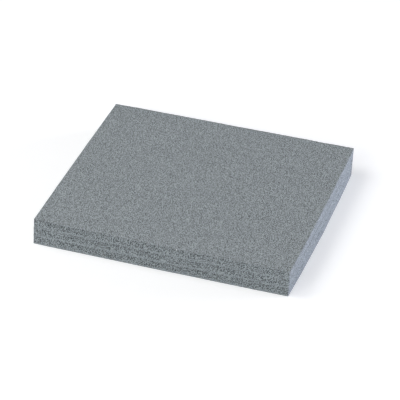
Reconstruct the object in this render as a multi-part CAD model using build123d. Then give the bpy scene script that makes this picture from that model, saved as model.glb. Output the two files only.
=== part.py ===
from build123d import *
import os

# Foam case insert: equal die-cut sheets of soft foam, laid loose one on another.
# Sizes are in millimetres. +X runs along the long sides, +Y to the rear and +Z up.
# The origin is the middle of the stack's footprint, on the underside of the bottom sheet.

# One sheet. Its width and depth are taken between the corners of its plan, before they are rounded.
sheet_width = 264.0
sheet_depth = 225.0
sheet_thickness = 10.0
corner_radius = 2.0

# Soft foam is squeezed under the cutting die and springs back a little out of true, so each side
# bulges at its middle, and the edge is hollow between two soft rims.
front_bow = 1.0
rear_bow = 0.2
left_bow = 0.2
right_bow = 2.0
edge_dish = 0.7  # depth of the hollow at half the thickness
rim_radius = 0.4  # rounding where the cut edge meets a flat face

# The stack, from the bottom up. Each sheet has slipped a little from the one below it.
sheet_nodes = ["foam_sheet_bottom", "foam_sheet_middle", "foam_sheet_top"]
slip_right = 1.2
slip_front = 0.3


def sheet_plan(inset=0):
    """Plan of a sheet, drawn in by the inset: four gently bowed sides and small round corners."""
    half_width = sheet_width / 2 - inset
    half_depth = sheet_depth / 2 - inset
    front_left = (-half_width, -half_depth)
    front_right = (half_width, -half_depth)
    rear_right = (half_width, half_depth)
    rear_left = (-half_width, half_depth)
    front_side = ThreePointArc(front_left, (0, -half_depth - front_bow), front_right)
    right_side = ThreePointArc(front_right, (half_width + right_bow, 0), rear_right)
    rear_side = ThreePointArc(rear_right, (0, half_depth + rear_bow), rear_left)
    left_side = ThreePointArc(rear_left, (-half_width - left_bow, 0), front_left)
    plan = make_face([front_side, right_side, rear_side, left_side])
    return fillet(plan.vertices(), corner_radius)


def foam_sheet():
    """One sheet on the ground plane: two flat faces, soft rims and a dished edge all round."""
    underside = sheet_plan()
    waist = Pos(0, 0, sheet_thickness / 2) * sheet_plan(edge_dish)
    top_face = Pos(0, 0, sheet_thickness) * sheet_plan()
    sheet = loft([underside, waist, top_face])
    rims = sheet.faces().filter_by(GeomType.PLANE).edges()
    return fillet(rims, rim_radius)


os.makedirs("parts", exist_ok=True)
sheet = foam_sheet()
footprint_middle = sheet.bounding_box().center()
centred = Pos(-footprint_middle.X, -footprint_middle.Y, 0) * sheet
middle_level = (len(sheet_nodes) - 1) / 2
for level, node in enumerate(sheet_nodes):
    slips = level - middle_level
    place = Pos(slips * slip_right, -slips * slip_front, level * sheet_thickness)
    export_step(place * centred, f"parts/{node}.step")
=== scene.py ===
"""Looks of a foam case insert: loose, die-cut sheets of soft grey foam, stacked flat.

Each sheet of the frame is replaced by one closed mesh with a dished, slightly ragged cut edge,
and dressed in open-cell foam. Lengths are in metres, in the frame's own axes.
"""

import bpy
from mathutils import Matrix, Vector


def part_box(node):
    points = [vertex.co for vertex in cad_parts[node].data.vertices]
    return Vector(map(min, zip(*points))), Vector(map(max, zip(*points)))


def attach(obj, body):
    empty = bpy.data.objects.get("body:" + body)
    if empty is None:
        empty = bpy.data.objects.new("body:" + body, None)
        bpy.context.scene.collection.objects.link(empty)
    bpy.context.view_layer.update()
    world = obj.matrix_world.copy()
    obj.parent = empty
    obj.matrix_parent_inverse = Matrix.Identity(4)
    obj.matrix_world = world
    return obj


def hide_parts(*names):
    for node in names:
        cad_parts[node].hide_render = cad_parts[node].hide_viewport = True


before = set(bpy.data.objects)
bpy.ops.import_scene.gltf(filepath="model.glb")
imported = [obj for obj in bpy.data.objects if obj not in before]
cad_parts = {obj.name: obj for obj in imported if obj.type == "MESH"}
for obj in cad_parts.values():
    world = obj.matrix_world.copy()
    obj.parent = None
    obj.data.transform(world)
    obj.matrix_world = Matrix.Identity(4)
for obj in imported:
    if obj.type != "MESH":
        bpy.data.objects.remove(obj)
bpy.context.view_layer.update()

import logging
import math
from dataclasses import astuple, dataclass, field, replace
from enum import Enum

import bpy
import numpy as np
from mathutils import Vector

LOG = logging.getLogger("foam_case_insert")
ROOT_BODY = "root"
MM = 0.001
HEIGHT_MAP = "edge_height"
LIP_HEIGHTS = (0.26, 0.11)  # shares of the thickness over which the painted highlight on a cut edge's lip sets in
PAINTED_RIM_SHADE_HEIGHTS = (0.66, 0.88)  # shares of the thickness over which painted shade darkens a cut edge below its upper rim
NOISE_RANGE = (0.3, 0.7)  # values that nearly all of a noise texture lies between
Colour = tuple[float, float, float]
Socket = bpy.types.NodeSocket


class Surface(Enum):
    """The kinds of foam surface, by their place in a sheet's list of materials."""

    SPLIT_FACE = 0
    DIE_CUT_SIDE = 1
    DIE_CUT_END = 2


class Grain(Enum):
    """How finely a flat face is gridded: steps of the edge for each step of the face."""

    OPEN = 2
    UNDERSIDE = 4
    COVERED = 8


# ---------------------------------------------------------------- shapes


@dataclass(frozen=True)
class Waves:
    """A random, repeatable unevenness, made of plane waves.

    Attributes:
        height: Standard deviation of the unevenness.
        shortest: Shortest wavelength.
        longest: Longest wavelength.
        seed: Seed of the waves' directions, lengths and phases.
        count: How many waves are added up.
    """

    height: float
    shortest: float
    longest: float
    seed: int
    count: int = 40

    def numbered(self, number: int) -> "Waves":
        """Waves of the same kind for one of several places, by its number."""
        return replace(self, seed=self.seed + number)

    def at(self, points: np.ndarray) -> np.ndarray:
        """Unevenness at each point.

        The sum over all waves of the cosine of (wave vector times point, plus phase), scaled so
        that its standard deviation is the height. Directions are even over a sphere, and
        wavelengths are even on a logarithmic scale.

        Args:
            points: Array whose last axis holds three coordinates.

        Returns:
            One value for each point.
        """
        rng = np.random.default_rng(self.seed)
        directions = rng.normal(size=(self.count, 3))
        directions /= np.linalg.norm(directions, axis=1, keepdims=True)
        lengths = np.exp(rng.uniform(math.log(self.shortest), math.log(self.longest), self.count))
        phases = rng.uniform(0, 2 * math.pi, self.count)
        total = np.zeros(points.shape[:-1])
        for vector, phase in zip(directions * (2 * math.pi / lengths)[:, None], phases):
            total += np.cos(points @ vector + phase)
        return total * self.height * math.sqrt(2 / self.count)


@dataclass(frozen=True)
class Bulges:
    """How far the middle of each side of a sheet stands out from a line between its corners."""

    left: float
    right: float
    front: float
    rear: float

    def towards(self, share: np.ndarray) -> np.ndarray:
        """Bulge that each plan coordinate meets.

        Args:
            share: Plan coordinates as shares of the sheet's half size, with x and y last.

        Returns:
            For x the right or left bulge and for y the rear or front one, by the share's sign.
        """
        return np.where(share > 0, (self.right, self.rear), (self.left, self.front))


@dataclass(frozen=True)
class Corners:
    """How far each corner of a sheet has been dragged along x and y."""

    front_left: tuple[float, float]
    front_right: tuple[float, float]
    rear_left: tuple[float, float]
    rear_right: tuple[float, float]

    def drag(self, share: np.ndarray) -> np.ndarray:
        """Drag of plan points, which changes evenly from corner to corner.

        Args:
            share: Plan coordinates as shares of the sheet's half size, with x and y last.

        Returns:
            The drag along x and y.
        """
        right, rear = np.moveaxis((share + 1) / 2, -1, 0)[..., None]
        front_drag = (1 - right) * self.front_left + right * self.front_right
        rear_drag = (1 - right) * self.rear_left + right * self.rear_right
        return (1 - rear) * front_drag + rear * rear_drag


# How far the sides of each sheet of the frame stand out from the lines between its corners.
FRAME_BULGES = Bulges(left=0.08 * MM, right=1.88 * MM, front=0.6 * MM, rear=0.08 * MM)


@dataclass(frozen=True)
class FramePlan:
    """Plan of one of the frame's sheets, as the rectangle between its corners.

    Attributes:
        middle: Middle of the rectangle.
        half: Half of its width and of its depth.
    """

    middle: np.ndarray
    half: np.ndarray

    @classmethod
    def of(cls, node: str) -> "FramePlan":
        """Takes the rectangle from the box of a node, less the frame's own bulges.

        Args:
            node: The frame node.

        Returns:
            The plan.
        """
        low, high = (np.array(corner)[:2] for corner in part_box(node))
        front_left = low + (FRAME_BULGES.left, FRAME_BULGES.front)
        rear_right = high - (FRAME_BULGES.right, FRAME_BULGES.rear)
        return cls(middle=(front_left + rear_right) / 2, half=(rear_right - front_left) / 2)


@dataclass(frozen=True)
class Level:
    """A flat face of the stack, shared by the sheet on it and the sheet under it.

    Attributes:
        middle: Plan middle of the face.
        bulges: Bulges of its sides.
        corners: Drag of its corners.
        waves: Unevenness of the face.
    """

    middle: np.ndarray
    bulges: Bulges
    corners: Corners
    waves: Waves


@dataclass(frozen=True)
class EdgeForm:
    """What the cutting die leaves of the edge of a soft sheet.

    Attributes:
        corner_radius: Radius of the corners in plan.
        dish: Depth of the hollow between the two rims.
        undercut: How steeply the hollow begins below the upper rim.
        flare: How steeply the hollow ends in a lip above the lower rim.
        corner_dish: Share of the hollow that is left at a corner.
        corner_reach: Distance from a corner over which the hollow fades.
        rim_radius: Rounding where the edge meets a flat face.
        border: Width of the plain strip between a rim and the grid of its face.
        wander: Slow wandering of the cut line, at both rims alike.
        dish_change: Slow change of the dish, as a share of it.
        tear: Raggedness of the torn cells on the edge.
        tear_start: Share of the dish's depth from which the edge is torn in full.
    """

    corner_radius: float = 0.9 * MM
    dish: float = 0.85 * MM
    undercut: float = 1.8
    flare: float = 8.3
    corner_dish: float = 0.15
    corner_reach: float = 6.0 * MM
    rim_radius: float = 0.2 * MM
    border: float = 2.6 * MM
    wander: Waves = Waves(0.07 * MM, 22 * MM, 90 * MM, seed=100)
    dish_change: Waves = Waves(0.15, 10 * MM, 45 * MM, seed=200)
    tear: Waves = Waves(0.03 * MM, 2.5 * MM, 9 * MM, seed=13, count=60)
    tear_start: float = 0.3

    def numbered(self, number: int) -> "EdgeForm":
        """The same form with the slow waves of one of several sheets, by its number."""
        wander, dish_change = (waves.numbered(number) for waves in (self.wander, self.dish_change))
        return replace(self, wander=wander, dish_change=dish_change)


@dataclass(frozen=True)
class EdgeGrid:
    """Mesh steps of a sheet's edge.

    Attributes:
        long_steps: Steps along a long side.
        short_steps: Steps along a short side.
        border_rings: Steps across the border of a flat face.
        rim_rings: Steps round a rim.
        dish_rings: Steps down the dish.
    """

    long_steps: int = 480
    short_steps: int = 408
    border_rings: int = 2
    rim_rings: int = 3
    dish_rings: int = 13

    @property
    def steps(self) -> tuple[int, int]:
        """Steps along x and along y."""
        return self.long_steps, self.short_steps


@dataclass
class Shell:
    """Points and faces of one mesh, gathered block by block."""

    points: list[np.ndarray] = field(default_factory=list)
    faces: list[np.ndarray] = field(default_factory=list)
    surfaces: list[np.ndarray] = field(default_factory=list)
    size: int = 0

    def add_points(self, points: np.ndarray) -> np.ndarray:
        """Adds points and numbers them.

        Args:
            points: Array whose last axis holds three coordinates.

        Returns:
            The points' numbers, in the shape of the array without its last axis.
        """
        shape = points.shape[:-1]
        numbers = self.size + np.arange(math.prod(shape)).reshape(shape)
        self.points.append(points.reshape(-1, 3))
        self.size += numbers.size
        return numbers

    def add_faces(self, faces: np.ndarray, surface: Surface) -> None:
        """Adds faces of one surface.

        Args:
            faces: Three or four point numbers in each row.
            surface: The surface that they belong to.
        """
        self.faces.append(faces)
        self.surfaces.append(np.full(len(faces), surface.value, dtype=np.int32))

    def mesh(self, name: str) -> bpy.types.Mesh:
        """Makes a smooth-shaded mesh of what was gathered.

        Args:
            name: Name of the mesh.

        Returns:
            The mesh, whose faces carry their surfaces' numbers as material numbers.
        """
        mesh = bpy.data.meshes.new(name)
        faces = [face for block in self.faces for face in block.tolist()]
        mesh.from_pydata(np.concatenate(self.points).tolist(), [], faces)
        mesh.polygons.foreach_set("material_index", np.concatenate(self.surfaces))
        mesh.polygons.foreach_set("use_smooth", np.ones(len(faces), dtype=bool))
        mesh.update()
        return mesh


def ring_quads(rings: np.ndarray) -> np.ndarray:
    """Quads between neighbouring closed rings.

    They face outwards where the rings run over the top face, down the edge and back below it.

    Args:
        rings: Point numbers, one ring in each row, anticlockwise seen from above.

    Returns:
        Array of quads.
    """
    here, there = rings[:-1], rings[1:]
    corners = (here, there, np.roll(there, -1, axis=1), np.roll(here, -1, axis=1))
    return np.stack(corners, axis=-1).reshape(-1, 4)


def grid_quads(grid: np.ndarray) -> np.ndarray:
    """Quads of a grid of point numbers, facing up, with x along its first axis."""
    corners = (grid[:-1, :-1], grid[1:, :-1], grid[1:, 1:], grid[:-1, 1:])
    return np.stack(corners, axis=-1).reshape(-1, 4)


def grid_border(grid: np.ndarray) -> np.ndarray:
    """Border of a grid, anticlockwise seen from above, from the front left corner.

    Args:
        grid: Array whose first two axes run along x and y.

    Returns:
        Array whose first axis runs along the border.
    """
    front, right = grid[:-1, 0], grid[-1, :-1]
    rear, left = grid[:0:-1, -1], grid[0, :0:-1]
    return np.concatenate([front, right, rear, left])


def plan_grid(half: np.ndarray, steps: tuple[int, int]) -> np.ndarray:
    """Evenly spaced plan points that fill a rectangle about the origin.

    Args:
        half: Half of the rectangle's width and of its depth.
        steps: Steps along x and along y.

    Returns:
        Array of plan points, with x along the first axis and y along the second.
    """
    along_x = np.linspace(-half[0], half[0], steps[0] + 1)
    along_y = np.linspace(-half[1], half[1], steps[1] + 1)
    return np.stack(np.meshgrid(along_x, along_y, indexing="ij"), axis=-1)


def stitch(fine: np.ndarray, coarse: np.ndarray) -> np.ndarray:
    """Triangles between a fine ring and a coarse ring inside it, facing up.

    Each coarse step is crossed by a fan of fine steps about its start, one triangle of its own,
    and a fan of fine steps about its end.

    Args:
        fine: Point numbers of the outer ring, a whole number of times as many as the inner's.
        coarse: Point numbers of the inner ring.

    Returns:
        Array of triangles.
    """
    ratio = len(fine) // len(coarse)
    half = ratio // 2
    steps = np.append(fine, fine[0])
    first = np.arange(len(coarse)) * ratio
    ends = np.roll(coarse, -1)
    fans = [
        np.stack([coarse if i < half else ends, steps[first + i], steps[first + i + 1]], axis=-1)
        for i in range(ratio)
    ]
    middle = np.stack([coarse, steps[first + half], ends], axis=-1)
    return np.concatenate([*fans, middle])


@dataclass
class FoamSheet:
    """One die-cut sheet of soft foam: a closed mesh in the place of its frame node.

    Attributes:
        node: The frame node that the sheet stands for.
        top: How finely the top face is gridded.
        bottom: How finely the underside is gridded.
        below: The underside.
        above: The top face.
        form: What the die leaves of the edge.
        grid: Mesh steps of the edge.
        grit: Fine unevenness of a face that is open to view.
    """

    node: str
    top: Grain
    bottom: Grain
    below: Level
    above: Level
    form: EdgeForm = EdgeForm()
    grid: EdgeGrid = EdgeGrid()
    grit: Waves = Waves(0.02 * MM, 2.6 * MM, 7 * MM, seed=14, count=60)

    def __post_init__(self) -> None:
        """Takes the sheet's size and height from its box in the frame."""
        low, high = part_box(self.node)
        self.half = FramePlan.of(self.node).half
        self.low_z = low[2]
        self.thickness = high[2] - low[2]

    def bulge(self, plan: np.ndarray, height: np.ndarray) -> np.ndarray:
        """Drags the corners of a plan and bows its sides outwards.

        Each coordinate grows in proportion to itself, so that its side moves by the side's bulge
        times one less the square of the other coordinate's share of its half size. Bulge and drag
        change evenly from the underside's to the top face's.

        Args:
            plan: Array whose last axis holds plan coordinates about the sheet's middle.
            height: Height of each point as a share of the thickness.

        Returns:
            The bowed plan coordinates.
        """
        share = plan / self.half
        foot, head = (
            level.corners.drag(share) + share * level.bulges.towards(share) * (1 - share[..., ::-1] ** 2)
            for level in (self.below, self.above)
        )
        return plan + foot + (head - foot) * height[..., None]

    def outline(self) -> tuple[np.ndarray, np.ndarray]:
        """Widest outline of the sheet, a rectangle with round corners.

        Each point of a sharp rectangle is drawn towards the nearest point of a smaller one, until
        it lies one corner radius from it.

        Returns:
            The outline's plan points, and the direction outwards at each.
        """
        sharp = grid_border(plan_grid(self.half, self.grid.steps))
        core = self.half - self.form.corner_radius
        nearest = np.clip(sharp, -core, core)
        outwards = sharp - nearest
        outwards /= np.linalg.norm(outwards, axis=1, keepdims=True)
        return nearest + self.form.corner_radius * outwards, outwards

    def profile(self) -> tuple[np.ndarray, np.ndarray, np.ndarray]:
        """Section of the edge from the top face to the underside.

        Round each rim, the edge runs along a quarter circle. Between the rims it is hollow, by
        depth share times (1 - depth share) times a factor that grows with the cube of the depth
        share, from the undercut at the upper rim to the flare at the lower one.

        Returns:
            How far each row stands in from the outline because of its rim, its height as a share
            of the thickness, and its share of the dish.
        """
        form = self.form
        radius = form.rim_radius
        turn = np.linspace(0, math.pi / 2, self.grid.rim_rings + 1)
        rim_in = radius * (1 - np.sin(turn))
        rim_down = radius * (1 - np.cos(turn))
        between = np.linspace(radius, self.thickness - radius, self.grid.dish_rings + 1)[1:-1]
        inset = np.concatenate([rim_in, np.zeros(len(between)), rim_in[::-1]])
        down = np.concatenate([rim_down, between, (self.thickness - rim_down)[::-1]])
        share = np.clip((down - radius) / (self.thickness - 2 * radius), 0, 1)
        dished = share * (1 - share) * (form.undercut + (form.flare - form.undercut) * share**3)
        return inset, 1 - down / self.thickness, dished

    def place(self, plan: np.ndarray, height: np.ndarray) -> np.ndarray:
        """Puts plan points at their height between the uneven underside and top face.

        They are dragged and bowed first. The sheet leans evenly from the underside's middle to the
        top face's.

        Args:
            plan: Plan coordinates about the sheet's middle.
            height: Height of each point as a share of the thickness.

        Returns:
            Points in the frame's axes.
        """
        foot, head = self.below.middle, self.above.middle
        points = np.zeros(plan.shape[:-1] + (3,))
        points[..., :2] = self.bulge(plan, height) + foot + (head - foot) * height[..., None]
        low = self.low_z + self.below.waves.at(points)
        high = self.low_z + self.thickness + self.above.waves.at(points)
        points[..., 2] = low + (high - low) * height
        return points

    def edge_rings(self, shell: Shell) -> np.ndarray:
        """Adds the border strips, rims and dished edge, as rings about the sheet.

        A row of the edge lies on the outline, less its inset and its share of the dish, plus the
        slow wandering and the tearing of the cut. The dish fades towards each corner along a bell
        curve. A border strip runs straight from its rim to a sharp rectangle inside it. All of it
        is dragged and bowed with the sheet.

        Args:
            shell: The mesh that the rings are added to.

        Returns:
            Point numbers of the rings, from the inside of the top border to that of the lower.
        """
        form = self.form
        outline, outwards = self.outline()
        inset, height, dished = self.profile()
        half_way = np.full(len(outline), 0.5)
        around = self.place(outline, half_way)
        wander = form.wander.at(around)
        from_corner = np.max(self.half - np.abs(outline), axis=1)
        fade = 1 - (1 - form.corner_dish) * np.exp(-((from_corner / form.corner_reach) ** 2))
        dish = form.dish * fade * (1 + form.dish_change.at(around))
        shift = wander - inset[:, None] - dished[:, None] * dish
        heights = np.broadcast_to(height[:, None], shift.shape)
        rows = outline + shift[..., None] * outwards
        edge = self.place(rows, heights)
        torn = form.tear.at(edge) * np.minimum(1, dished / form.tear_start)[:, None]
        edge[..., :2] += torn[..., None] * outwards

        inner = grid_border(plan_grid(self.half - form.border, self.grid.steps))
        share = (np.arange(self.grid.border_rings) / self.grid.border_rings)[:, None, None]
        strips = []
        for rim, level in ((rows[0], 1.0), (rows[-1], 0.0)):
            strip = inner + share * (rim - inner)
            strips.append(self.place(strip, np.full(strip.shape[:2], level)))
        return shell.add_points(np.concatenate([strips[0], edge, strips[1][::-1]]))

    def add_face(self, shell: Shell, ring: np.ndarray, grain: Grain, is_top: bool) -> None:
        """Adds a flat face inside the innermost ring of its border.

        The grid's edge lies half a step of the face inside the ring, and triangles join the two.

        Args:
            shell: The mesh that the face is added to.
            ring: Point numbers of the border's innermost ring.
            grain: How finely the face is gridded.
            is_top: Whether this is the top face.
        """
        steps = tuple(count // grain.value for count in self.grid.steps)
        outer = self.half - self.form.border
        plan = plan_grid(outer * (1 - 1 / np.array(steps)), steps)
        points = self.place(plan, np.full(plan.shape[:2], float(is_top)))
        if grain is Grain.OPEN:
            points[..., 2] += self.grit.at(points)
        grid = shell.add_points(points)
        for faces in (grid_quads(grid), stitch(ring, grid_border(grid))):
            shell.add_faces(faces if is_top else faces[:, ::-1], Surface.SPLIT_FACE)

    def add_edge(self, shell: Shell, rings: np.ndarray) -> None:
        """Adds the faces of the cut edge: a long side, an end, the other side and the other end.

        Args:
            shell: The mesh that the faces are added to.
            rings: Point numbers of the edge's rings, from the front left corner anticlockwise.
        """
        quads = ring_quads(rings).reshape(len(rings) - 1, -1, 4)
        lengths = (self.grid.long_steps, self.grid.short_steps, self.grid.long_steps)
        parts = np.split(quads, np.cumsum(lengths), axis=1)
        surfaces = (Surface.DIE_CUT_SIDE, Surface.DIE_CUT_END) * 2
        for part, surface in zip(parts, surfaces):
            shell.add_faces(part.reshape(-1, 4), surface)

    def build(self) -> bpy.types.Object:
        """Builds the sheet as one closed mesh object at the origin.

        An attribute holds the height of each point as a share of the thickness.

        Returns:
            The object, with no material yet.
        """
        shell = Shell()
        rings = self.edge_rings(shell)
        border = self.grid.border_rings
        shell.add_faces(ring_quads(rings[: border + 1]), Surface.SPLIT_FACE)
        self.add_edge(shell, rings[border:-border])
        shell.add_faces(ring_quads(rings[-border - 1 :]), Surface.SPLIT_FACE)
        self.add_face(shell, rings[0], self.top, is_top=True)
        self.add_face(shell, rings[-1], self.bottom, is_top=False)
        mesh = shell.mesh(f"{self.node}_foam")
        heights = (np.concatenate(shell.points)[:, 2] - self.low_z) / self.thickness
        height_map = mesh.attributes.new(HEIGHT_MAP, "FLOAT", "POINT")
        height_map.data.foreach_set("value", heights.astype(np.float32))
        piece = bpy.data.objects.new(mesh.name, mesh)
        bpy.context.scene.collection.objects.link(piece)
        return piece


# ---------------------------------------------------------------- finishes


class Graph:
    """A writer of shader nodes into one node tree."""

    def __init__(self, tree: bpy.types.NodeTree) -> None:
        """Starts writing into a tree."""
        self.tree = tree

    @classmethod
    def cleared(cls, owner: bpy.types.Material | bpy.types.World) -> "Graph":
        """Starts writing into the emptied tree of a material or a world.

        Args:
            owner: The material or world.

        Returns:
            The writer.
        """
        owner.use_nodes = True
        owner.node_tree.nodes.clear()
        return cls(owner.node_tree)

    def node(self, kind: str, inputs: dict | None = None, **settings: object) -> bpy.types.Node:
        """Adds a node.

        Args:
            kind: The node's type name.
            inputs: What each input socket takes, by the socket's name or number: another node's
                output socket, or a plain value.
            **settings: Attributes of the node.

        Returns:
            The new node.
        """
        node = self.tree.nodes.new(kind)
        for name, value in settings.items():
            setattr(node, name, value)
        for name, value in (inputs or {}).items():
            if isinstance(value, Socket):
                self.tree.links.new(value, node.inputs[name])
            else:
                node.inputs[name].default_value = value
        return node

    def maths(self, operation: str, *values: object) -> Socket:
        """Adds a Math node and gives its result."""
        return self.node("ShaderNodeMath", dict(enumerate(values)), operation=operation).outputs[0]

    def smooth_step(self, value: object, low: object, high: object) -> Socket:
        """Maps a value smoothly from 0 at low to 1 at high."""
        inputs = {"Value": value, "From Min": low, "From Max": high}
        return self.node("ShaderNodeMapRange", inputs, interpolation_type="SMOOTHSTEP").outputs[0]

    def fill(self, value: object, share: object) -> Socket:
        """Moves a value towards one by a share of what it lacks."""
        lack = self.maths("SUBTRACT", 1.0, value)
        return self.maths("ADD", value, self.maths("MULTIPLY", lack, share))

    def swing(self, noise: Socket, reach: float) -> Socket:
        """Maps a noise evenly onto factors from one less a reach to one more than it.

        Args:
            noise: Output of a noise texture.
            reach: Half of the factors' range.

        Returns:
            The factor.
        """
        names = ("Value", "From Min", "From Max", "To Min", "To Max")
        inputs = dict(zip(names, (noise, *NOISE_RANGE, 1 - reach, 1 + reach)))
        return self.node("ShaderNodeMapRange", inputs).outputs[0]

    def blend(self, share: object, first: object, second: object, mode: str = "MIX") -> Socket:
        """Blends two colours.

        Args:
            share: From 0 for the first colour alone to 1 for the full blend.
            first: The first colour.
            second: The second colour.
            mode: How they blend: MIX goes over to the second, and MULTIPLY multiplies by it.

        Returns:
            The blended colour.
        """
        inputs = {0: share, 6: first, 7: second}  # the node's sockets for a colour mix
        return self.node("ShaderNodeMix", inputs, data_type="RGBA", blend_type=mode).outputs[2]


class CellGroup:
    """Shader group of open foam cells: dark pores between pale struts."""

    NAME = "open_foam_cells"
    INPUTS = {
        "Vector": "NodeSocketVector",
        "Cell Size": "NodeSocketFloat",
        "Pore Rim": "NodeSocketFloat",
        "Deep Pores": "NodeSocketFloat",
    }
    OUTPUTS = {"Strut": "NodeSocketFloat", "Shade": "NodeSocketFloat", "Mottle": "NodeSocketFloat"}
    RIM_SOFTNESS = 0.2
    DEEP_PORE_POWER = 4.0
    MOTTLE_PER_METRE = 60.0
    MOTTLE_DETAIL = 3.0

    @classmethod
    def get(cls) -> bpy.types.NodeTree:
        """Gives the group, and builds it the first time."""
        return bpy.data.node_groups.get(cls.NAME) or cls.make()

    @classmethod
    def make(cls) -> bpy.types.NodeTree:
        """Builds the group.

        The distance to the nearest cell centre is small in a pore and large on the struts between
        pores. The shade is one on the struts. Inside each pore it falls by the share of deep pores
        times the fourth power of an even random number, so that few pores are much darker than
        the rest. The mottle is a slow noise about one half.

        Returns:
            The group's node tree.
        """
        tree = bpy.data.node_groups.new(cls.NAME, "ShaderNodeTree")
        for name, kind in cls.INPUTS.items():
            tree.interface.new_socket(name, in_out="INPUT", socket_type=kind)
        for name, kind in cls.OUTPUTS.items():
            tree.interface.new_socket(name, in_out="OUTPUT", socket_type=kind)
        graph = Graph(tree)
        given = graph.node("NodeGroupInput").outputs
        per_metre = graph.maths("DIVIDE", 1.0, given["Cell Size"])
        scaled = {0: given["Vector"], "Scale": per_metre}
        cells = graph.node("ShaderNodeVectorMath", scaled, operation="SCALE").outputs[0]
        cell = graph.node("ShaderNodeTexVoronoi", {"Vector": cells, "Scale": 1.0}).outputs
        rim_start = graph.maths("SUBTRACT", given["Pore Rim"], cls.RIM_SOFTNESS)
        rim_end = graph.maths("ADD", given["Pore Rim"], cls.RIM_SOFTNESS)
        strut = graph.smooth_step(cell["Distance"], rim_start, rim_end)
        chance = graph.node("ShaderNodeSeparateColor", {"Color": cell["Color"]}).outputs[0]
        rare = graph.maths("POWER", chance, cls.DEEP_PORE_POWER)
        deep = graph.maths("MULTIPLY", rare, given["Deep Pores"])
        inside = graph.maths("SUBTRACT", 1.0, strut)
        shade = graph.maths("SUBTRACT", 1.0, graph.maths("MULTIPLY", deep, inside))
        slow = {"Vector": given["Vector"], "Scale": cls.MOTTLE_PER_METRE, "Detail": cls.MOTTLE_DETAIL}
        mottle = graph.node("ShaderNodeTexNoise", slow).outputs["Fac"]
        graph.node("NodeGroupOutput", {"Strut": strut, "Shade": shade, "Mottle": mottle})
        return tree


@dataclass(frozen=True)
class Crumb:
    """A pale crumb caught between the cells of a cut long side.

    Attributes:
        along: Its place along x.
        height: Its height above the ground.
        radius: Its radius.
        colour: Its colour.
    """

    along: float = 18.1 * MM
    height: float = 29.4 * MM
    radius: float = 0.65 * MM
    colour: Colour = (0.8, 0.83, 0.85)

    def add(self, graph: Graph, where: Socket, foam: Socket) -> Socket:
        """Lays the crumb over the foam's colour, on the front side alone.

        Args:
            graph: The material's nodes.
            where: Object coordinates.
            foam: The colour without the crumb.

        Returns:
            The colour with the crumb.
        """
        place = graph.node("ShaderNodeSeparateXYZ", {"Vector": where}).outputs
        across = graph.maths("SUBTRACT", place["X"], self.along)
        up = graph.maths("SUBTRACT", place["Z"], self.height)
        squares = graph.maths("MULTIPLY_ADD", across, across, graph.maths("MULTIPLY", up, up))
        near = graph.maths("LESS_THAN", squares, self.radius**2)
        front = graph.maths("LESS_THAN", place["Y"], 0.0)
        return graph.blend(graph.maths("MULTIPLY", near, front), foam, (*self.colour, 1))


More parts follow.
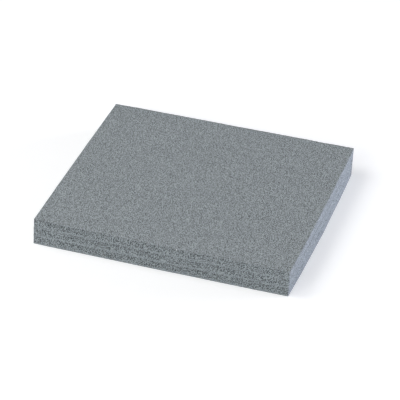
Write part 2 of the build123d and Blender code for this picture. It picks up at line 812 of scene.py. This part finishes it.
@dataclass(frozen=True)
class FoamFinish:
    """Finish of one kind of foam surface.

    Attributes:
        name: Name of the material.
        strut: Colour of the struts, which stand out.
        pore: Colour deep in the pores.
        cell_size: Mean distance between the cells' centres.
        pore_rim: Distance of a pore's rim from its centre, as a share of the cell size.
        deep_pores: How much darker the deepest pores are than the common ones, as a share.
        relief: Depth of the pores in the bump.
        mottle: How much the slow mottling darkens and lightens the foam, as a share.
        streak: How much the streaks along a cut edge darken and lighten it, as a share.
        lip: Painted highlight on the lip at the foot of a cut edge: how far its pores are filled towards
            the struts' colour, as a share.
        lip_shade: Painted shade that dims that highlight: how much darker the lip's struts are, as a
            share.
        painted_rim_shade: Painted shade below the upper rim of a cut edge: how much darker the edge is
            there, as a share.
        crumb: A crumb caught in the surface, if there is one.
        roughness: Roughness of the struts.
        specular: Specular level of the struts.
        sheen: Weight of the soft sheen of fine struts seen at a flat angle.
        sheen_roughness: Roughness of that sheen.
    """

    STREAKS_PER_METRE = 160.0
    STREAK_STRETCH = (1.0, 1.0, 4.0)
    STREAK_DETAIL = 4.0

    name: str
    strut: Colour
    pore: Colour
    cell_size: float
    pore_rim: float
    deep_pores: float
    relief: float
    mottle: float
    streak: float = 0.0
    lip: float = 0.0
    lip_shade: float = 0.0
    painted_rim_shade: float = 0.0
    crumb: Crumb | None = None
    roughness: float = 0.95
    specular: float = 0.2
    sheen: float = 0.05
    sheen_roughness: float = 0.6

    def add_cells(self, graph: Graph, where: Socket) -> bpy.types.bpy_prop_collection:
        """Adds the group of open cells, set to this finish.

        Args:
            graph: The material's nodes.
            where: Object coordinates.

        Returns:
            The group's outputs.
        """
        inputs = {
            "Vector": where,
            "Cell Size": self.cell_size,
            "Pore Rim": self.pore_rim,
            "Deep Pores": self.deep_pores,
        }
        return graph.node("ShaderNodeGroup", inputs, node_tree=CellGroup.get()).outputs

    def cut_tone(self, graph: Graph, where: Socket) -> tuple[Socket, Socket]:
        """Tone of a cut edge over its height.

        A painted highlight lightens the lip at the foot of the edge by filling its pores towards the
        struts' colour, and a painted shade dims it a little. A painted shade darkens the edge below
        its upper rim. Faint streaks run along the edge: a noise that changes faster over the height.

        Args:
            graph: The material's nodes.
            where: Object coordinates.

        Returns:
            The share of the painted highlight on the lip, and a factor of the colour that holds the
            streaks and the painted shade.
        """
        height = graph.node("ShaderNodeAttribute", attribute_name=HEIGHT_MAP).outputs["Fac"]
        # painted highlight on the lip at the foot of the edge, and the painted shade that dims it
        lip = graph.smooth_step(height, *LIP_HEIGHTS)
        lip_shade = graph.maths("MULTIPLY", lip, self.lip_shade)
        # painted shade below the upper rim
        painted_rim_shade = graph.maths("MULTIPLY", graph.smooth_step(height, *PAINTED_RIM_SHADE_HEIGHTS), self.painted_rim_shade)
        mapping = {"Vector": where, "Scale": self.STREAK_STRETCH}
        flat = graph.node("ShaderNodeMapping", mapping).outputs[0]
        fine = {"Vector": flat, "Scale": self.STREAKS_PER_METRE, "Detail": self.STREAK_DETAIL}
        noise = graph.node("ShaderNodeTexNoise", fine).outputs["Fac"]
        streaks = graph.swing(noise, self.streak)
        darker = graph.maths("ADD", lip_shade, painted_rim_shade)
        tone = graph.maths("MULTIPLY", streaks, graph.maths("SUBTRACT", 1.0, darker))
        return graph.maths("MULTIPLY", lip, self.lip), tone

    def material(self) -> bpy.types.Material:
        """Builds the material, which reads object coordinates and the height on a cut edge.

        The colour goes from the pores' to the struts', times the mottle, the tone of a cut edge
        and the shade of deep pores. On a cut edge it carries a painted highlight on the lip and
        painted shade below the upper rim. The struts stand out in the bump.

        Returns:
            The material.
        """
        material = bpy.data.materials.new(self.name)
        graph = Graph.cleared(material)
        where = graph.node("ShaderNodeTexCoord").outputs["Object"]
        cells = self.add_cells(graph, where)
        strut, shade = cells["Strut"], cells["Shade"]
        factor = graph.swing(cells["Mottle"], self.mottle)
        if self.lip:
            # painted highlight on the lip fills its pores towards the struts' colour; the tone holds the
            # streaks and the painted shade
            lip_highlight, tone = self.cut_tone(graph, where)
            strut = graph.fill(strut, lip_highlight)
            shade = graph.fill(shade, lip_highlight)
            factor = graph.maths("MULTIPLY", factor, tone)
        factor = graph.maths("MULTIPLY", factor, shade)
        foam = graph.blend(strut, (*self.pore, 1), (*self.strut, 1))
        tint = graph.node("ShaderNodeCombineColor", {0: factor, 1: factor, 2: factor}).outputs[0]
        colour = graph.blend(1.0, foam, tint, mode="MULTIPLY")
        if self.crumb:
            colour = self.crumb.add(graph, where, colour)
        bump = graph.node("ShaderNodeBump", {"Height": strut, "Distance": self.relief, "Strength": 1.0})
        shader = graph.node(
            "ShaderNodeBsdfPrincipled",
            {
                "Base Color": colour,
                "Roughness": self.roughness,
                "Normal": bump.outputs[0],
                "Sheen Weight": self.sheen,
                "Sheen Roughness": self.sheen_roughness,
                "Specular IOR Level": self.specular,
            },
        )
        graph.node("ShaderNodeOutputMaterial", {"Surface": shader.outputs[0]})
        return material


SPLIT_FOAM = FoamFinish(
    name="foam_split_face",
    strut=(0.357, 0.393, 0.403),
    pore=(0.003, 0.0033, 0.0036),
    cell_size=0.95 * MM,
    pore_rim=0.4,
    deep_pores=0.9,
    relief=0.05 * MM,
    mottle=0.015,
)
CUT_FOAM = FoamFinish(
    name="foam_die_cut_side",
    strut=(0.375, 0.421, 0.44),
    pore=(0.015, 0.0165, 0.018),
    cell_size=1.05 * MM,
    pore_rim=0.45,
    deep_pores=0.8,
    relief=0.1 * MM,
    mottle=0.02,
    streak=0.03,
    # painted highlight on the lip, the painted shade that dims it, and painted shade below the upper rim
    lip=0.5,
    lip_shade=0.11,
    painted_rim_shade=0.1,
    crumb=Crumb(),
)
# A lit copy of the cut side's finish for the ends: paler pores and darker struts paint the flatter
# shading of the grain where the light falls square on the ends.
END_FOAM = replace(
    CUT_FOAM,
    name="foam_die_cut_end",
    strut=(0.343, 0.38, 0.405),
    pore=(0.086, 0.095, 0.103),
    deep_pores=0.5,
    crumb=None,
)


# ---------------------------------------------------------------- the stack


@dataclass
class FoamStack:
    """The insert: sheets that rest face to face, from the bottom up.

    Attributes:
        nodes: The frame's sheets, from the bottom up.
        foot_bulges: Bulges of the lowest face. The weight above squeezes the lower sheets out.
        foot_corners: Drag of the lowest face's corners.
        head_bulges: Bulges of the top face.
        head_corners: Drag of the top face's corners.
        settle: Unevenness of each face where two sheets meet, and of the top face.
        form: What the die leaves of each sheet's edge.
    """

    nodes: tuple[str, ...] = ("foam_sheet_bottom", "foam_sheet_middle", "foam_sheet_top")
    foot_bulges: Bulges = Bulges(left=0.2 * MM, right=1.9 * MM, front=0.5 * MM, rear=0.1 * MM)
    foot_corners: Corners = Corners(
        front_left=(0.0, -1.2 * MM),
        front_right=(1.5 * MM, -1.1 * MM),
        rear_left=(0.0, 0.0),
        rear_right=(2.1 * MM, -5.0 * MM),
    )
    head_bulges: Bulges = Bulges(left=0.2 * MM, right=0.9 * MM, front=1.2 * MM, rear=0.1 * MM)
    head_corners: Corners = Corners(
        front_left=(0.0, -0.9 * MM),
        front_right=(0.4 * MM, -0.9 * MM),
        rear_left=(-0.2 * MM, 0.1 * MM),
        rear_right=(-0.2 * MM, 0.4 * MM),
    )
    settle: Waves = Waves(0.09 * MM, 14 * MM, 70 * MM, seed=40)
    form: EdgeForm = EdgeForm()

    def levels(self) -> list[Level]:
        """Every level face, from the flat floor to the top face.

        The middles, bulges and corners change evenly from the lowest face to the top one, because
        the sheets lean alike. The lowest face is flat.

        Returns:
            One level more than there are sheets, from the bottom up.
        """
        ends = [FramePlan.of(node).middle for node in (self.nodes[0], self.nodes[-1])]
        sizes = [np.array(astuple(bulges)) for bulges in (self.foot_bulges, self.head_bulges)]
        drags = [np.array(astuple(corners)) for corners in (self.foot_corners, self.head_corners)]
        count = len(self.nodes) + 1
        middles, bulges, corners = (np.linspace(*pair, count) for pair in (ends, sizes, drags))
        waves = [self.settle.numbered(number) for number in range(count)]
        waves[0] = replace(waves[0], height=0.0)
        return [
            Level(
                middle=middles[number],
                bulges=Bulges(*bulges[number]),
                corners=Corners(*corners[number]),
                waves=waves[number],
            )
            for number in range(count)
        ]

    def sheets(self) -> list[FoamSheet]:
        """The sheets, each between two level faces that it shares with its neighbours.

        Only the top face and the underside of the stack are open to view.

        Returns:
            The sheets, from the bottom up.
        """
        levels = self.levels()
        last = len(self.nodes) - 1
        return [
            FoamSheet(
                node=node,
                top=Grain.OPEN if number == last else Grain.COVERED,
                bottom=Grain.UNDERSIDE if number == 0 else Grain.COVERED,
                below=levels[number],
                above=levels[number + 1],
                form=self.form.numbered(number),
            )
            for number, node in enumerate(self.nodes)
        ]

    def build(self) -> Vector:
        """Builds and dresses every sheet and puts it in its node's place.

        Returns:
            The middle of the stack's top face.
        """
        finishes = {
            Surface.SPLIT_FACE: SPLIT_FOAM,
            Surface.DIE_CUT_SIDE: CUT_FOAM,
            Surface.DIE_CUT_END: END_FOAM,
        }
        materials = [finishes[surface].material() for surface in Surface]
        for sheet in self.sheets():
            piece = sheet.build()
            for material in materials:
                piece.data.materials.append(material)
            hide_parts(sheet.node)
            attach(piece, ROOT_BODY)
            LOG.info("%s: %d faces in place of %s", piece.name, len(piece.data.polygons), sheet.node)
        return Vector((*sheet.above.middle, sheet.low_z + sheet.thickness))


# ---------------------------------------------------------------- the studio


@dataclass(frozen=True)
class SoftBox:
    """A flat, evenly lit panel that faces the stack.

    Attributes:
        name: Name of the lamp.
        azimuth: Compass direction from the stack to the lamp, in degrees from +X towards +Y.
        elevation: Height of that direction over the floor, in degrees.
        width: Width of the panel.
        height: Height of the panel.
        watts: Power of the lamp.
        distance: Distance from the stack to the lamp.
        colour: Colour of its light.
    """

    name: str
    azimuth: float
    elevation: float
    width: float
    height: float
    watts: float
    distance: float = 2.2
    colour: Colour = (1.0, 1.0, 1.0)

    def build(self, target: Vector) -> None:
        """Adds the lamp, turned towards a point.

        Args:
            target: The point.
        """
        light = bpy.data.lights.new(self.name, "AREA")
        light.shape = "RECTANGLE"
        light.size, light.size_y = self.width, self.height
        light.energy, light.color = self.watts, self.colour
        lamp = bpy.data.objects.new(self.name, light)
        across, up = math.radians(self.azimuth), math.radians(self.elevation)
        towards = Vector((math.cos(up) * math.cos(across), math.cos(up) * math.sin(across), math.sin(up)))
        lamp.location = target + towards * self.distance
        lamp.rotation_euler = towards.to_track_quat("Z", "Y").to_euler()
        bpy.context.scene.collection.objects.link(lamp)
        LOG.info("%s: %.1f W", self.name, self.watts)


@dataclass(frozen=True)
class CameraStand:
    """A camera with a long lens that looks down on the stack.

    Attributes:
        aim: Point that the camera looks at, from the middle of the top face.
        azimuth: Turn of the line of sight to the left of +Y, in degrees.
        elevation: Height of the camera over its aim, in degrees.
        distance: Distance from the aim.
        lens: Focal length in millimetres.
        sensor: Width of the sensor in millimetres.
        sight_end: Distance up to which the camera sees.
    """

    aim: tuple[float, float] = (11.9 * MM, -28.1 * MM)
    azimuth: float = 19.18
    elevation: float = 34.87
    distance: float = 2.109
    lens: float = 190.0
    sensor: float = 36.0
    sight_end: float = 100.0

    def build(self, top_middle: Vector) -> None:
        """Adds the camera and makes it the scene's own.

        Args:
            top_middle: The middle of the stack's top face.
        """
        data = bpy.data.cameras.new("camera")
        data.lens, data.sensor_width = self.lens, self.sensor
        data.clip_end = self.sight_end
        camera = bpy.data.objects.new("camera", data)
        camera.rotation_euler = (math.radians(90 - self.elevation), 0, math.radians(self.azimuth))
        sight = camera.rotation_euler.to_matrix() @ Vector((0, 0, -1))
        camera.location = top_middle + Vector((*self.aim, 0)) - sight * self.distance
        bpy.context.scene.collection.objects.link(camera)
        bpy.context.scene.camera = camera
        LOG.info("camera: %.0f mm lens, %.2f m away", self.lens, self.distance)


@dataclass(frozen=True)
class Studio:
    """Plain white surroundings and soft lamps.

    Attributes:
        floor_half: Half of the floor's width.
        floor_colour: Colour of the floor.
        lift: Extra brightness of the floor where it is seen, so that it is white.
        sky: Colour of the light from all around.
        sky_strength: Strength of that light.
        lamps: The soft boxes.
    """

    floor_half: float = 6.0
    floor_colour: Colour = (0.85, 0.85, 0.85)
    lift: float = 0.34
    sky: Colour = (0.95, 0.97, 1.0)
    sky_strength: float = 0.25
    lamps: tuple[SoftBox, ...] = (
        SoftBox("key_softbox", azimuth=197, elevation=52, width=1.5, height=1.5, watts=22.9),
        SoftBox("front_softbox", azimuth=256, elevation=30, width=1.2, height=1.2, watts=17.0),
        SoftBox(
            "right_softbox",
            azimuth=28,
            elevation=9,
            width=1.2,
            height=0.5,
            watts=50.0,
            colour=(0.86, 0.88, 1.0),
        ),
    )

    @staticmethod
    def seen(graph: Graph) -> Socket:
        """One for rays that see a surface directly, in a gloss or through glass, and else zero.

        Args:
            graph: The nodes of the surface's material, or the world's.

        Returns:
            The one or zero.
        """
        path = graph.node("ShaderNodeLightPath").outputs
        gloss = graph.maths("MAXIMUM", path["Is Camera Ray"], path["Is Glossy Ray"])
        return graph.maths("MAXIMUM", gloss, path["Is Transmission Ray"])

    def build_floor(self) -> None:
        """Adds the floor, which keeps the stack's shadow."""
        corners = plan_grid(np.array([self.floor_half, self.floor_half]), (1, 1))
        points = np.concatenate([corners, np.zeros((2, 2, 1))], axis=-1)
        shell = Shell()
        grid = shell.add_points(points)
        shell.add_faces(grid_quads(grid), Surface.SPLIT_FACE)  # number 0, the floor's one material
        floor = bpy.data.objects.new("floor", shell.mesh("floor"))
        material = bpy.data.materials.new("studio_floor")
        graph = Graph.cleared(material)
        matt = graph.node("ShaderNodeBsdfDiffuse", {"Color": (*self.floor_colour, 1)})
        strength = graph.maths("MULTIPLY", self.seen(graph), self.lift)
        glow = graph.node("ShaderNodeEmission", {"Color": (1, 1, 1, 1), "Strength": strength})
        both = graph.node("ShaderNodeAddShader", {0: matt.outputs[0], 1: glow.outputs[0]})
        graph.node("ShaderNodeOutputMaterial", {"Surface": both.outputs[0]})
        floor.data.materials.append(material)
        bpy.context.scene.collection.objects.link(floor)
        LOG.info("floor: %.0f m wide", 2 * self.floor_half)

    def build_sky(self) -> None:
        """Sets the light from all around, and white where it is seen."""
        world = bpy.data.worlds.new("studio_sky")
        graph = Graph.cleared(world)
        seen = self.seen(graph)
        sky = graph.node("ShaderNodeBackground", {"Color": (*self.sky, 1), "Strength": self.sky_strength})
        white = graph.node("ShaderNodeBackground", {"Color": (1, 1, 1, 1), "Strength": 1.0})
        mixed = graph.node("ShaderNodeMixShader", {0: seen, 1: sky.outputs[0], 2: white.outputs[0]})
        graph.node("ShaderNodeOutputWorld", {"Surface": mixed.outputs[0]})
        bpy.context.scene.world = world

    def build(self, target: Vector) -> None:
        """Builds the surroundings and sets how colours are shown.

        Args:
            target: The point that the lamps face.
        """
        self.build_floor()
        self.build_sky()
        for lamp in self.lamps:
            lamp.build(target)
        bpy.context.scene.view_settings.view_transform = "Standard"


def main() -> None:
    """Builds the stack, the studio and the camera."""
    logging.basicConfig(level=logging.INFO, format="%(name)s: %(message)s")
    top_middle = FoamStack().build()
    Studio().build(Vector((0, 0, 0)))
    CameraStand().build(top_middle)


if __name__ == "__main__":
    main()
